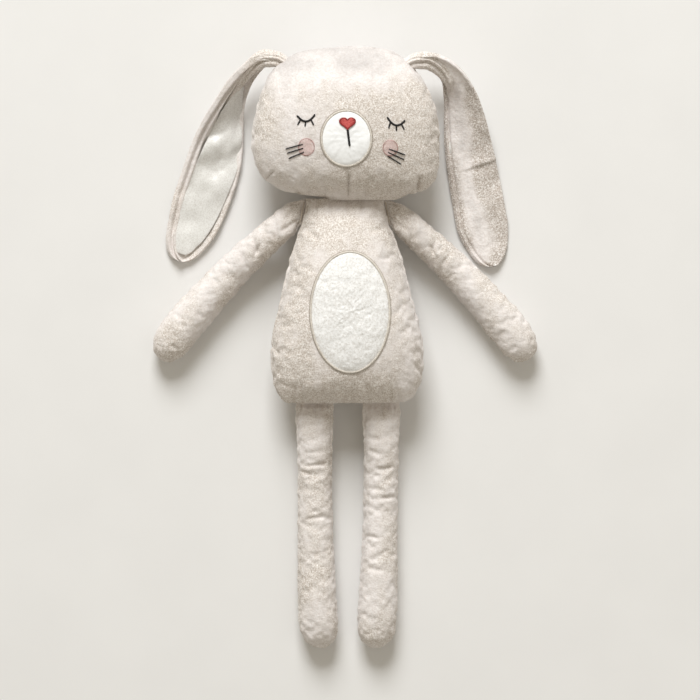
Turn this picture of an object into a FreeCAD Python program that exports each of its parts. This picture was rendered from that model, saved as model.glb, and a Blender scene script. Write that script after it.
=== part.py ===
"""Stuffed bunny toy, 400 mm from crown to toes, lying on its back.

Frame: millimetres, +Z up and out of the bunny's belly, +Y towards its head, +X towards the bunny's own
left side. The origin is at the bottom centre of the whole toy, so the surface it lies on is Z = 0.

The toy is sewn from pairs of plush panels, turned and stuffed. Every stuffed part is a front panel, a
back panel, the side seam between them and the stuffing inside. The neck, shoulder and hip seams are
where one stuffed part is sewn flat to another, and they work as cloth hinges.
"""

import FreeCAD, Part

import math
import os

from FreeCAD import Vector

os.makedirs("parts", exist_ok=True)

# ---- driving dimensions -------------------------------------------------------------------------
FABRIC = 1.6            # plush backing and pile, pressed
FILL_GAP = 0.3          # clearance between stuffing and panels
SEAM_HEIGHT = 0.8       # thread and turned edges between two panels
SEAM_GAP = 0.1          # clearance each side of a seam
LAYER_GAP = 0.1         # clearance under an applique or embroidery
HINGE_GAP = 1.6         # cloth hinge: each part ends this far from the seam line
ROOM = 600.0            # larger than the whole toy, for cutting
SECTION_POINTS = 20     # points on one cross-section
THINNEST = 0.9          # a section with a smaller half depth is left out of an inner body
END_SHARE = 0.4         # an inner body starts at most this share of the first span further in
SEAM_OVERHANG = 6.0     # how far the cutting ribbon of a side seam reaches past the body

HIP_Y = -36.0           # hip seam
NECK_Y = 98.8           # neck seam
HINGE_Z = 25.0          # height of the hip, shoulder and neck seams
HIP_X, NECK_X = 2.8, 0.8    # the toy lies a little crooked: middle of the torso at its two ends
HEAD_X = 1.3
FACE_X = 1.9
FLAT_Z = 0.0            # the back of the head and torso flatten against the surface

# A stuffed part is given by stations: distance from its hinge end, half width, half depth, centre height.
TORSO_STATIONS = [
    (0, 33.0, 1.5, HINGE_Z),
    (3.5, 39.5, 8.0, HINGE_Z),
    (9.5, 46.3, 15.5, HINGE_Z),
    (19, 50.2, 22.0, HINGE_Z),
    (31, 51.0, 25.5, HINGE_Z),
    (49, 48.2, 26.8, HINGE_Z),
    (69, 42.9, 26.0, HINGE_Z),
    (89, 38.2, 23.5, HINGE_Z),
    (107, 32.6, 19.0, HINGE_Z),
    (119, 28.0, 14.5, HINGE_Z),
    (128, 26.2, 9.0, HINGE_Z),
    (131.6, 25.3, 1.5, HINGE_Z),
]
HEAD_STATIONS = [
    (0, 26.0, 1.5, HINGE_Z),
    (2.5, 35.0, 8.0, 25.6),
    (6.5, 46.0, 14.0, 26.6),
    (13.5, 55.5, 20.5, 27.6),
    (23.5, 60.6, 25.8, 28.4),
    (38, 62.0, 29.5, 29.0),
    (55.5, 59.2, 31.0, 29.0),
    (71.5, 54.6, 29.5, 29.0),
    (83.5, 46.5, 24.5, 29.0),
    (91.5, 36.0, 17.5, 29.0),
    (96.6, 24.0, 10.5, 29.0),
    (99.6, 10.0, 3.0, 29.0),
]
LEG_LENGTH = 162.4
LEG_STATIONS = [
    (0, 12.0, 1.2, HINGE_Z),
    (8, 12.2, 2.2, 23.6),
    (18, 12.0, 5.4, 20.0),
    (30, 11.5, 8.4, 15.6),
    (50, 11.2, 9.8, 11.4),
    (85, 11.4, 10.2, 10.4),
    (120, 12.4, 10.8, 10.9),
    (140, 12.9, 11.0, 11.0),
    (152.6, 11.8, 10.0, 10.6),
    (159.5, 8.0, 7.0, 9.6),
    (LEG_LENGTH, 3.0, 2.6, 9.0),
]
LEGS = {                  # hip centre x, foot x
    "right": (-19.3, -15.6),
    "left": (25.3, 21.6),
}

# The left arm from the middle of the shoulders outwards: x, y, z, half width, half depth.
SHOULDER_LEAN = -0.2      # the torso's side leans in towards the neck, and the shoulder seam follows it
SHOULDER_HINGE = (28.4, 90.0, HINGE_Z)
SHOULDER_HALF = 8.0
ARM_STATIONS = [
    (30.0, 89.7, HINGE_Z, SHOULDER_HALF, 1.3),
    (34.9, 87.0, 24.3, 8.6, 2.6),
    (42.0, 81.2, 21.2, 9.2, 5.6),
    (51.6, 72.6, 17.5, 9.8, 8.0),
    (65.0, 60.6, 14.0, 10.7, 9.5),
    (80.0, 45.6, 11.0, 11.4, 10.2),
    (94.6, 29.6, 10.7, 12.2, 10.6),
    (106.0, 16.6, 11.0, 12.9, 10.9),
    (114.4, 5.4, 10.7, 12.6, 10.5),
    (119.6, -2.2, 10.0, 9.6, 8.6),
    (122.4, -6.4, 9.6, 4.6, 4.2),
]

# Ears, from the fold outwards: centre x, y, z, half width, and how far the sheet has turned from flat.
EAR_LAYER = 1.5           # each of the two cloth layers of an ear
EAR_LAYER_GAP = 0.2
EAR_BORDER = 3.5          # plush left showing round the lining
EAR_ROOTS = {             # from the head seam to the fold: centre x, y, z, half thickness, half height
    "right": [
        (-42.0, 190.5, 29.0, 2.6, 3.0),
        (-45.4, 191.8, 28.6, 4.2, 5.2),
        (-49.2, 192.4, 27.4, 5.2, 6.8),
        (-53.0, 192.3, 25.8, 4.6, 6.4),
    ],
    "left": [
        (44.6, 189.2, 29.0, 2.6, 3.0),
        (48.4, 190.4, 28.6, 4.6, 5.2),
        (52.8, 190.8, 27.4, 5.8, 6.8),
        (57.0, 190.6, 25.8, 5.0, 6.4),
    ],
}
EAR_BLADES = {
    "right": [
        (-56.2, 191.2, 24.4, 3.4, 60),
        (-59.6, 188.4, 22.6, 6.6, 60),
        (-65.0, 182.4, 19.6, 9.0, 57),
        (-71.4, 173.0, 16.0, 9.8, 50),
        (-76.0, 162.6, 12.6, 12.0, 39),
        (-79.6, 150.4, 9.2, 14.8, 26),
        (-83.4, 136.0, 6.2, 17.2, 13),
        (-87.8, 118.4, 3.8, 18.6, 5),
        (-93.2, 101.4, 2.2, 18.4, 0),
        (-98.8, 84.6, 1.8, 16.8, 0),
        (-104.0, 71.4, 1.8, 13.6, 0),
        (-107.0, 62.6, 1.8, 9.0, 0),
        (-108.4, 58.6, 1.8, 3.6, 0),
    ],
    "left": [
        (60.4, 189.8, 24.4, 3.4, 120),
        (64.2, 187.8, 22.6, 7.0, 121),
        (70.0, 183.2, 19.8, 9.8, 127),
        (75.2, 175.8, 16.8, 11.6, 135),
        (78.8, 165.6, 13.4, 13.6, 146),
        (81.2, 152.0, 9.8, 15.0, 158),
        (83.2, 137.4, 6.8, 15.8, 167),
        (85.8, 121.4, 4.2, 16.4, 174),
        (89.4, 101.8, 2.4, 16.9, 180),
        (92.4, 84.0, 1.8, 16.7, 180),
        (94.4, 72.0, 1.8, 14.4, 180),
        (95.8, 61.6, 1.8, 9.2, 180),
        (96.4, 56.8, 1.8, 3.6, 180),
    ],
}

# Face and belly, in the plane of the face: centres are from the toy's middle line.
BELLY_X, BELLY_Y, BELLY_HALF = 4.0, 23.6, (26.8, 40.6)
MUZZLE_Y, MUZZLE_HALF = 138.4, (17.2, 19.1)
APPLIQUE_DEPTH = 1.0
BORDER_WIDTH = 2.0
THREAD_DEPTH = 0.7
HEART_Y, HEART_WIDTH, HEART_HEIGHT = 147.8, 11.4, 8.6
HEART_NOTCH = 0.25          # depth of the notch between the lobes, as a share of a lobe's radius
HEART_BOW = (0.36, -0.18)   # where the sides bow out, as shares of the heart's width and height
MOUTH_LENGTH, MOUTH_SHIFT, MOUTH_TILT = 10.4, 0.5, 96
LINE_WIDTH = 1.3
EYE_SPAN, EYE_DROP = 11.6, 4.6
EYE_RIGHT = (-26.2, 151.6, -2.0)     # x from the middle, y, tilt in degrees
EYE_LEFT = (33.0, 149.6, 8.0)
LASHES = [(-4.0, 1.3, 215), (0.0, 0.0, 268), (3.9, 1.2, 322)]   # along the lid, above its low point, degrees
LASH_LENGTH = 3.4
CHEEK_HALF = (5.0, 5.5)
CHEEK_RIGHT = (-26.0, 132.8)
CHEEK_LEFT = (29.4, 132.2)
WHISKER_LENGTH, WHISKER_WIDTH = 10.8, 1.1
WHISKERS_RIGHT = [(-33.2, 133.4, 194), (-32.4, 130.8, 195), (-31.4, 127.8, 202)]   # middle x, y, degrees
WHISKERS_LEFT = [(33.4, 129.8, -19), (33.0, 126.8, -24), (31.9, 123.9, -31)]
DART_LENGTH, DART_WIDTH = 13.0, 0.8
DARTS = [(0.8, 112.4, 90), (-52.0, 124.4, 40), (51.0, 122.0, 128)]

CLOSING_STITCHES = 9
CLOSING_PITCH = 4.0
CLOSING_START_Y = 6.0
CLOSING_STEP, CLOSING_RISE = 0.8, 1.6       # half of one stitch along the seam and across it
THREAD_RADIUS = 0.45
NECK_THREAD_HALF, HIP_THREAD_HALF = 23.0, 11.0
SHOULDER_THREAD_INSET = 1.0

LINING_NARROWEST = 0.45     # the lining keeps at least this share of the ear's width
LINING_END_PULL = 0.6       # the lining ends this share of the last span before the ear's tip


# ---- shapes -------------------------------------------------------------------------------------
def oval_point(centre, wide, deep, k):
    """Point k of SECTION_POINTS round an oval with the half axes wide and deep."""
    angle = 2 * math.pi * k / SECTION_POINTS
    return centre + wide * math.cos(angle) + deep * math.sin(angle)


def section(centre, side, up, half_width, half_depth):
    """A closed oval wire round centre, half_width along side and half_depth along up."""
    points = [oval_point(centre, side * half_width, up * half_depth, k) for k in range(SECTION_POINTS)]
    curve = Part.BSplineCurve()
    curve.interpolate(Points=points, PeriodicFlag=True)
    return Part.Wire([curve.toShape()])


def leaf_section(centre, side, up, half_width, half_depth):
    """A closed wire of an upper and a lower half, which meet in an edge at both ends of side."""
    halves = []
    for first in (0, SECTION_POINTS // 2):
        places = range(first, first + SECTION_POINTS // 2 + 1)
        points = [oval_point(centre, side * half_width, up * half_depth, k) for k in places]
        curve = Part.BSplineCurve()
        curve.interpolate(Points=points)
        halves.append(curve.toShape())
    return Part.Wire(halves)


def loft(wires):
    """The solid through a row of closed wires."""
    solid = Part.makeLoft(wires, True, False)
    if solid.Volume < 0:
        solid.reverse()
    return solid


def across(points, i):
    """The level direction across a route at its point i."""
    before = points[max(i - 1, 0)]
    after = points[min(i + 1, len(points) - 1)]
    along = after - before
    side = Vector(along.y, -along.x, 0)
    side.normalize()
    return side


def oval_body(stations, shrink=0.0, first_side=None):
    """A stuffed body through stations of (centre, half width, half depth), smaller all round by shrink.

    Where the body is too thin to shrink, as at a flat sewn end, the smaller body starts further in.
    first_side is the direction that the first section runs in, where it lies along a seam.
    """
    centres = [centre for centre, _, _ in stations]
    sides = [across(centres, i) for i in range(len(stations))]
    if first_side is not None:
        sides[0] = first_side
        sides[1] = first_side + sides[1]
        sides[1].normalize()
    thick = [i for i, (_, _, depth) in enumerate(stations) if depth - shrink > THINNEST]
    wires = []
    for i in thick:
        centre, width, depth = stations[i]
        if shrink and i in (thick[0], thick[-1]):
            neighbour = centres[i + 1] if i == thick[0] else centres[i - 1]
            inward = neighbour - centre
            inward.normalize()
            centre = centre + inward * min(shrink, END_SHARE * (neighbour - centre).Length)
        wires.append(section(centre, sides[i], Vector(0, 0, 1), width - shrink, depth - shrink))
    return loft(wires)


def seam_slab(stations, height):
    """A thin level ribbon that follows the middle of a stuffed body, wider and longer than the body."""
    centres = [centre for centre, _, _ in stations]
    lead, tail = centres[1] - centres[0], centres[-1] - centres[-2]
    first = centres[0] - lead * (SEAM_OVERHANG / lead.Length)
    last = centres[-1] + tail * (SEAM_OVERHANG / tail.Length)
    centres = [first] + centres + [last]
    reach = max(width for _, width, _ in stations) + SEAM_OVERHANG
    wires = []
    for i, centre in enumerate(centres):
        side = across(centres, i) * reach
        rise = Vector(0, 0, height / 2)
        corners = [centre - side - rise, centre + side - rise, centre + side + rise, centre - side + rise]
        wires.append(Part.makePolygon(corners + corners[:1]))
    return Part.makeLoft(wires, True, True)


def stuffed_part(name, stations, flat_back=False, first_side=None):
    """Front panel, back panel, side seam and stuffing of one stuffed body, and its outer shape."""
    outer = oval_body(stations, first_side=first_side)
    inner = oval_body(stations, FABRIC, first_side)
    filling = oval_body(stations, FABRIC + FILL_GAP, first_side)
    if flat_back:
        outer = outer.common(above(FLAT_Z))
        inner = inner.common(above(FLAT_Z + FABRIC))
        filling = filling.common(above(FLAT_Z + FABRIC + FILL_GAP))
    shell = outer.cut(inner)
    panels = shell.cut(seam_slab(stations, SEAM_HEIGHT + 2 * SEAM_GAP))
    solids = sorted(panels.Solids, key=lambda s: -s.Volume)[:2]
    front, back = sorted(solids, key=lambda s: -s.CenterOfMass.z)
    return outer, {
        f"{name}_front_panel": front,
        f"{name}_back_panel": back,
        f"{name}_side_seam": shell.common(seam_slab(stations, SEAM_HEIGHT)),
        f"{name}_stuffing": filling,
    }


def above(level):
    """Everything above a level, as a large box."""
    return Part.makeBox(ROOM, ROOM, ROOM, Vector(-ROOM / 2, -ROOM / 2, level))


def stations_along(rows, start, heading, drift=0.0, power=1):
    """Stations from rows of (distance, half width, half depth, height), along +Y or -Y from start.

    drift is how far the far end lies to the side, reached evenly or, with power 2, in a curve.
    """
    length = rows[-1][0]
    stations = []
    for along, width, depth, height in rows:
        x = start.x + drift * (along / length) ** power
        stations.append((Vector(x, start.y + heading * along, height), width, depth))
    return stations


def raised(stations, rise):
    """The same stations for a body that is larger all round by rise."""
    return [(centre, width + rise, depth + rise) for centre, width, depth in stations]


# ---- flat outlines for applique and embroidery ---------------------------------------------------
def ellipse_face(x, y, half):
    """A level ellipse, whichever way its longer half runs."""
    wide = half[0] >= half[1]
    ellipse = Part.Ellipse(Vector(0, 0, 0), max(half), min(half))
    face = Part.Face(Part.Wire([ellipse.toShape()]))
    if not wide:
        face.rotate(Vector(0, 0, 0), Vector(0, 0, 1), 90)
    face.translate(Vector(x, y, 0))
    return face


def ring_face(x, y, half, width):
    outside = ellipse_face(x, y, half)
    return outside.cut(ellipse_face(x, y, (half[0] - width, half[1] - width)))


def stroke_face(x, y, degrees, length, width):
    """A round-ended stroke of thread with its middle at x, y."""
    half = length / 2 - width / 2
    left, right = Vector(-half, 0, 0), Vector(half, 0, 0)
    rise = Vector(0, width / 2, 0)
    edges = [
        Part.LineSegment(left - rise, right - rise).toShape(),
        Part.Arc(right - rise, right + Vector(width / 2, 0, 0), right + rise).toShape(),
        Part.LineSegment(right + rise, left + rise).toShape(),
        Part.Arc(left + rise, left - Vector(width / 2, 0, 0), left - rise).toShape(),
    ]
    face = Part.Face(Part.Wire(edges))
    face.rotate(Vector(0, 0, 0), Vector(0, 0, 1), degrees)
    face.translate(Vector(x, y, 0))
    return face


def heart_face(x, y, width, height):
    """A wide heart: two round lobes and two bowed sides that meet in a point. x, y is its middle."""
    lobe = width / 4
    top = height / 2 - lobe
    notch, tip = Vector(0, top + HEART_NOTCH * lobe, 0), Vector(0, -height / 2, 0)
    left, right = Vector(-width / 2, top, 0), Vector(width / 2, top, 0)
    bow = Vector(HEART_BOW[0] * width, HEART_BOW[1] * height, 0)
    edges = [
        Part.Arc(notch, Vector(lobe, top + lobe, 0), right).toShape(),
        Part.Arc(right, bow, tip).toShape(),
        Part.Arc(tip, Vector(-bow.x, bow.y, 0), left).toShape(),
        Part.Arc(left, Vector(-lobe, top + lobe, 0), notch).toShape(),
    ]
    face = Part.Face(Part.Wire(edges))
    face.translate(Vector(x, y, 0))
    return face


def eye_faces(x, y, tilt):
    """A closed eye: a lid curve that sags in the middle, and three lashes below it."""
    radius = (EYE_SPAN**2 / 4 + EYE_DROP**2) / (2 * EYE_DROP)
    half_angle = math.asin(EYE_SPAN / 2 / radius)
    sides = []
    for r in (radius - LINE_WIDTH / 2, radius + LINE_WIDTH / 2):
        ends = [Vector(r * math.sin(a), radius - r * math.cos(a), 0) for a in (-half_angle, 0, half_angle)]
        sides.append(ends)
    inside, outside = sides
    edges = [
        Part.Arc(*outside).toShape(),
        Part.LineSegment(outside[2], inside[2]).toShape(),
        Part.Arc(inside[2], inside[1], inside[0]).toShape(),
        Part.LineSegment(inside[0], outside[0]).toShape(),
    ]
    strokes = [Part.Face(Part.Wire(edges))]
    for along, height, degrees in LASHES:
        turn = math.radians(degrees)
        reach = LASH_LENGTH / 2
        strokes.append(stroke_face(along + reach * math.cos(turn), height + reach * math.sin(turn), degrees,
                                   LASH_LENGTH, LINE_WIDTH))
    eye = Part.makeCompound(strokes)
    eye.rotate(Vector(0, 0, 0), Vector(0, 0, 1), -tilt)
    eye.translate(Vector(x, y - EYE_DROP / 2, 0))
    return eye


def sewn_on(face, stations, low, high):
    """The outline pushed up through a skin that lies from low to high above the body's front."""
    first, *others = [each.extrude(Vector(0, 0, ROOM)) for each in face.Faces]
    column = first.fuse(others) if others else first
    column.translate(Vector(0, 0, HINGE_Z))
    return column.common(oval_body(raised(stations, high))).cut(oval_body(raised(stations, low)))


# ---- parts --------------------------------------------------------------------------------------
def face_and_belly(head, torso):
    """Applique patches, their satin borders and the embroidery."""
    middle = FACE_X
    inset = BORDER_WIDTH + SEAM_GAP
    low, high = LAYER_GAP, LAYER_GAP + APPLIQUE_DEPTH
    on_patch = high + LAYER_GAP
    parts = {}

    for name, stations, x, y, half in (("belly", torso, BELLY_X, BELLY_Y, BELLY_HALF),
                                       ("muzzle", head, FACE_X, MUZZLE_Y, MUZZLE_HALF)):
        patch = ellipse_face(x, y, (half[0] - inset, half[1] - inset))
        parts[f"{name}_patch"] = sewn_on(patch, stations, low, high)
        parts[f"{name}_border"] = sewn_on(ring_face(x, y, half, BORDER_WIDTH), stations, low, on_patch)

    heart = heart_face(middle, HEART_Y, HEART_WIDTH, HEART_HEIGHT)
    mouth_top = HEART_Y - HEART_HEIGHT / 2 - SEAM_GAP
    mouth = stroke_face(middle + MOUTH_SHIFT, mouth_top - MOUTH_LENGTH / 2, MOUTH_TILT, MOUTH_LENGTH,
                        LINE_WIDTH)
    parts["nose_heart"] = sewn_on(heart, head, on_patch, on_patch + THREAD_DEPTH)
    parts["mouth_line"] = sewn_on(mouth.cut(heart), head, on_patch, on_patch + THREAD_DEPTH)

    for side, eye, cheek, whiskers in (("right", EYE_RIGHT, CHEEK_RIGHT, WHISKERS_RIGHT),
                                       ("left", EYE_LEFT, CHEEK_LEFT, WHISKERS_LEFT)):
        x, y, tilt = eye
        parts[f"eye_{side}"] = sewn_on(eye_faces(middle + x, y, tilt), head, low, low + THREAD_DEPTH)
        strokes = [stroke_face(middle + wx, wy, turn, WHISKER_LENGTH, WHISKER_WIDTH)
                   for wx, wy, turn in whiskers]
        room_length, room_width = WHISKER_LENGTH + 2 * SEAM_GAP, WHISKER_WIDTH + 2 * SEAM_GAP
        room = [stroke_face(middle + wx, wy, turn, room_length, room_width) for wx, wy, turn in whiskers]
        blush = ellipse_face(middle + cheek[0], cheek[1], CHEEK_HALF)
        for stroke in room:
            blush = blush.cut(stroke)
        parts[f"whiskers_{side}"] = sewn_on(Part.makeCompound(strokes), head, low, low + THREAD_DEPTH)
        parts[f"cheek_{side}"] = sewn_on(blush, head, low, low + THREAD_DEPTH)

    darts = [stroke_face(middle + x, y, turn, DART_LENGTH, DART_WIDTH) for x, y, turn in DARTS]
    parts["head_darts"] = sewn_on(Part.makeCompound(darts), head, low, low + THREAD_DEPTH)
    return parts


def rod(start, end, radius):
    along = end - start
    return Part.makeCylinder(radius, along.Length, start, along)


def level_rod(x, y, half_length):
    """A thread at the height of the cloth hinges that runs along X, with its middle at x, y."""
    half = Vector(half_length, 0, 0)
    middle = Vector(x, y, HINGE_Z)
    return rod(middle - half, middle + half, THREAD_RADIUS)


def seam_threads():
    """The thread along each cloth hinge."""
    neck = level_rod(NECK_X, NECK_Y, NECK_THREAD_HALF)
    hips = [level_rod(x, HIP_Y, HIP_THREAD_HALF) for x, _ in LEGS.values()]
    reach = shoulder_direction() * (SHOULDER_HALF - SHOULDER_THREAD_INSET)
    hinge = Vector(*SHOULDER_HINGE)
    left = {"shoulder": rod(hinge - reach, hinge + reach, THREAD_RADIUS)}
    shoulders = list(placed_arm(left).values()) + list(placed_arm(mirrored(left)).values())
    return {
        "neck_seam_thread": neck,
        "hip_seam_threads": Part.makeCompound(hips),
        "shoulder_seam_threads": Part.makeCompound(shoulders),
    }


def closing_stitches(torso_outer):
    """Short hand stitches across the side seam, down the bunny's right side."""
    stitches = []
    for k in range(CLOSING_STITCHES):
        y = CLOSING_START_Y + k * CLOSING_PITCH
        slice_wires = torso_outer.slice(Vector(0, 1, 0), y)
        edge_x = min(w.BoundBox.XMin for w in slice_wires)
        middle = Vector(edge_x - THREAD_RADIUS - 2 * LAYER_GAP, y, HINGE_Z)
        half = Vector(0, CLOSING_STEP, CLOSING_RISE)
        stitches.append(rod(middle - half, middle + half, THREAD_RADIUS))
    return Part.makeCompound(stitches)


def sheet(stations, offset, inset):
    """One cloth layer of an ear, offset to one side of the ear's middle and smaller all round by inset."""
    centres = [Vector(x, y, z) for x, y, z, _, _ in stations]
    wires = []
    for i, (_, _, _, width, turned) in enumerate(stations):
        width = max(width - inset, LINING_NARROWEST * width)
        side = across(centres, i)
        turn = math.radians(turned)
        wide = side * math.cos(turn) + Vector(0, 0, math.sin(turn))
        facing = Vector(0, 0, math.cos(turn)) - side * math.sin(turn)
        centre = centres[i] + facing * offset
        if i == len(stations) - 1 and inset:
            centre = centre + (centres[i - 1] - centres[i]) * LINING_END_PULL
        wires.append(leaf_section(centre, wide, facing, width, EAR_LAYER / 2))
    return loft(wires)


def ear(side):
    """A gathered root on the head seam, and beyond the fold the plush outer layer and its white lining."""
    layer = (EAR_LAYER + EAR_LAYER_GAP) / 2
    root_stations = [(Vector(x, y, z), thick, height) for x, y, z, thick, height in EAR_ROOTS[side]]
    blade = EAR_BLADES[side]
    return {
        f"ear_{side}_root": oval_body(root_stations),
        f"ear_{side}_outer": sheet(blade, -layer, 0.0),
        f"ear_{side}_lining": sheet(blade, layer, EAR_BORDER),
    }


def mirrored(parts):
    """The bunny's right-hand copies of left-hand parts."""
    flip = FreeCAD.Matrix()
    flip.scale(-1, 1, 1)
    return {name.replace("left", "right"): shape.transformGeometry(flip) for name, shape in parts.items()}


def placed_arm(parts):
    """Arm parts moved from the world's middle to the middle of the shoulders."""
    moved = {}
    for name, shape in parts.items():
        moved[name] = shape.copy()
        moved[name].translate(Vector(NECK_X, 0, 0))
    return moved


def shoulder_direction():
    direction = Vector(SHOULDER_LEAN, 1.0, 0)
    direction.normalize()
    return direction


def build():
    torso_start = Vector(HIP_X, HIP_Y + HINGE_GAP, 0)
    torso_stations = stations_along(TORSO_STATIONS, torso_start, 1, NECK_X - HIP_X)
    head_stations = stations_along(HEAD_STATIONS, Vector(HEAD_X, NECK_Y + HINGE_GAP, 0), 1)
    torso_outer, parts = stuffed_part("torso", torso_stations, flat_back=True)
    _, head_parts = stuffed_part("head", head_stations, flat_back=True)
    parts.update(head_parts)
    parts.update(face_and_belly(head_stations, torso_stations))

    arm_stations = [(Vector(x, y, z), width, depth) for x, y, z, width, depth in ARM_STATIONS]
    _, left_arm = stuffed_part("arm_left", arm_stations, first_side=shoulder_direction() * -1)
    parts.update(placed_arm(left_arm))
    parts.update(placed_arm(mirrored(left_arm)))

    for side, (hip_x, foot_x) in LEGS.items():
        hip = Vector(hip_x, HIP_Y - HINGE_GAP, 0)
        stations = stations_along(LEG_STATIONS, hip, -1, foot_x - hip_x, power=2)
        parts.update(stuffed_part(f"leg_{side}", stations)[1])
        parts.update(ear(side))

    parts.update(seam_threads())
    parts["closing_stitches"] = closing_stitches(torso_outer)
    return parts


parts = build()
for name, shape in sorted(parts.items()):
    solids = shape.Solids
    node = solids[0] if len(solids) == 1 else Part.makeCompound(solids)
    node.exportStep(f"parts/{name}.step")
print(len(parts), "nodes")
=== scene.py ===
"""The looks of a stuffed plush bunny, 400 mm from crown to toes, lying on its back.

Lengths in this script are in millimetres until mesh_object() turns them into metres.
"""

import math

import bmesh
import bpy
import numpy as np
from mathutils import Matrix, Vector, noise
from mathutils.bvhtree import BVHTree


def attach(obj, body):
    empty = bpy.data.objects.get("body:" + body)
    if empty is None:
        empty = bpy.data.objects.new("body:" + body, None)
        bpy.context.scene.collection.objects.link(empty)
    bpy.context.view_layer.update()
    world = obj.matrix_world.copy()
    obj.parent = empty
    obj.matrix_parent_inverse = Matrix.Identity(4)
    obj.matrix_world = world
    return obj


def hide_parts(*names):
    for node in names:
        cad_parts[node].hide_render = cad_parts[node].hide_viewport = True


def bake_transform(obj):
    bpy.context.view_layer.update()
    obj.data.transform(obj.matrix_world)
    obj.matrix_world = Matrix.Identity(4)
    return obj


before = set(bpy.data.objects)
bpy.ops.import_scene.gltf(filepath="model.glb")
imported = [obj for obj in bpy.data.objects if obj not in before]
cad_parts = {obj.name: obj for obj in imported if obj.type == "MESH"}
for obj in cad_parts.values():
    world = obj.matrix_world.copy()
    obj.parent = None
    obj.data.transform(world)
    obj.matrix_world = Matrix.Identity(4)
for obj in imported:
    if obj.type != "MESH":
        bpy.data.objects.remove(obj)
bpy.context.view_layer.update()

MM = 0.001
UP = np.array([0.0, 0.0, 1.0])


def add_object(name, data):
    """A new object in the scene."""
    obj = bpy.data.objects.new(name, data)
    bpy.context.scene.collection.objects.link(obj)
    return obj


# ---- camera ----
CAMERA_X, CAMERA_Y, CAMERA_Z = 4.3, -1.5, 5000.0
FRAME_WIDTH = 466.7            # what the picture's width covers at the height of the limbs
FRAME_HEIGHT_Z = 15.0
SENSOR = 36.0

camera = add_object("camera", bpy.data.cameras.new("camera"))
camera.location = Vector((CAMERA_X, CAMERA_Y, CAMERA_Z)) * MM
camera.data.sensor_width = SENSOR
camera.data.lens = SENSOR * (CAMERA_Z - FRAME_HEIGHT_Z) / FRAME_WIDTH
camera.data.clip_end = 20
bpy.context.scene.camera = camera

# ---- dimensions ----
HIP_Y, NECK_Y, HINGE_Z = -36.0, 98.8, 25.0
HIP_X, NECK_X = 2.8, 0.8

# Stations of a stuffed part: distance from its hinge end, half width, half depth, centre height, and for
# the head also how far its middle lies to the bunny's left.
TORSO = [
    (-0.9, 33.5, 3.6, 27.4), (0.2, 38.0, 8.6, 26.4), (3.2, 43.4, 13.6, 25.6),
    (8.4, 46.9, 18.2, 25.2), (17.0, 49.8, 22.6, HINGE_Z), (32.0, 51.0, 25.8, HINGE_Z),
    (51.0, 48.2, 26.8, HINGE_Z), (71.0, 42.9, 26.0, HINGE_Z), (91.0, 38.2, 23.5, HINGE_Z),
    (109.0, 32.6, 19.0, HINGE_Z), (121.0, 28.0, 14.5, HINGE_Z), (130.0, 26.2, 9.0, HINGE_Z),
    (135.5, 25.3, 4.0, HINGE_Z),
]
HEAD = [
    (-0.6, 22.0, 9.0, 27.0, 12.0), (1.2, 25.0, 12.0, 27.4, 12.4), (2.7, 33.5, 15.0, 27.8, 8.5),
    (4.7, 43.0, 18.0, 28.2, 7.0), (6.6, 47.6, 20.2, 28.4, 6.4), (13.0, 56.1, 24.8, 28.9, 4.4),
    (19.7, 59.8, 27.4, 29.2, 2.9), (34.7, 62.2, 30.4, 29.6, 1.5), (46.3, 61.9, 31.2, 29.6, 1.5),
    (58.0, 60.0, 31.4, 29.4, 1.7), (73.0, 54.9, 29.4, 29.0, 1.1), (86.0, 47.2, 23.8, 29.0, 0.3),
    (94.7, 36.7, 16.4, 29.0, 1.0), (100.0, 22.5, 7.8, 29.0, 3.5), (101.7, 0.0, 0.0, 29.0, 4.3),
]
LEG = [
    (-3.0, 11.6, 1.8, 19.4), (1.2, 12.1, 2.0, 18.4), (4.8, 12.4, 3.6, 18.4),
    (9.0, 12.4, 4.9, 18.4), (14.0, 12.2, 5.9, 17.8), (22.0, 11.8, 7.0, 16.4),
    (34.0, 11.4, 8.9, 14.2), (52.0, 11.2, 9.8, 11.2), (86.0, 11.4, 10.2, 10.4),
    (121.0, 12.4, 10.8, 10.9), (141.0, 12.9, 11.0, 11.0), (154.0, 11.8, 10.0, 10.6),
    (161.0, 8.0, 7.0, 9.8), (163.8, 3.4, 3.0, 9.4), (164.2, 0.0, 0.0, 9.3),
]
LEGS = {"right": (-19.3, -15.6, 3), "left": (25.3, 21.6, 2)}     # hip x, foot x, power of the curve between

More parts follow.
